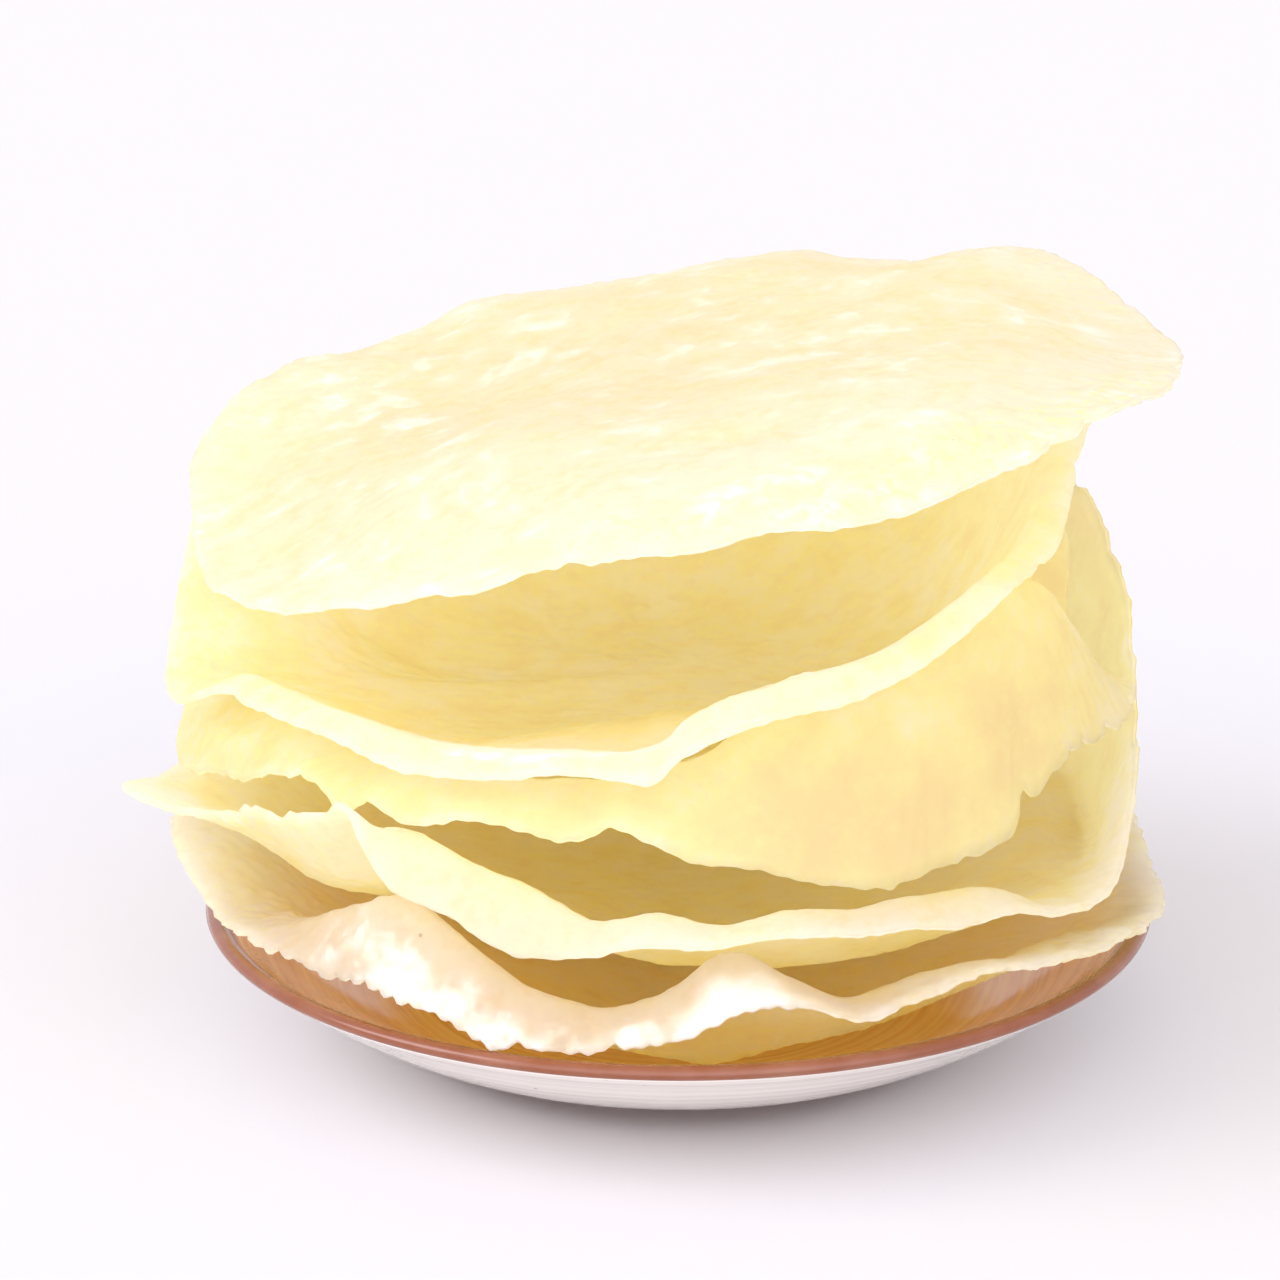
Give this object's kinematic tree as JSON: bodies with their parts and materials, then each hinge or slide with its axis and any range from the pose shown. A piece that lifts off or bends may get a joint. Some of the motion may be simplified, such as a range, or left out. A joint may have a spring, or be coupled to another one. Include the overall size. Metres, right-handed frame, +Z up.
{
  "type": "stack of papadums",
  "caption": "Uneven stack of thin, wavy fried papadums, nested like shallow bowls under a nearly flat top one, on a shallow round glazed stoneware plate with a darker rim.",
  "frame": {"origin": "centre of the plate's flat foot, on the table", "axes": "+Z up; -Y faces the viewer of the picture; +X to that viewer's right"},
  "size_m": [0.1957, 0.1889, 0.1397],
  "materials": {
    "papadum": "fried lentil crispbread: dry, pale golden, fine bubbles, lightly oily",
    "stoneware": "glossy honey glaze inside, red-brown rim, off-white outside"
  },
  "bodies": {
    "root": {"papadum_1": "papadum", "papadum_2": "papadum", "papadum_3": "papadum", "papadum_4": "papadum", "papadum_5": "papadum", "plate": "stoneware"}
  },
  "joints": []
}
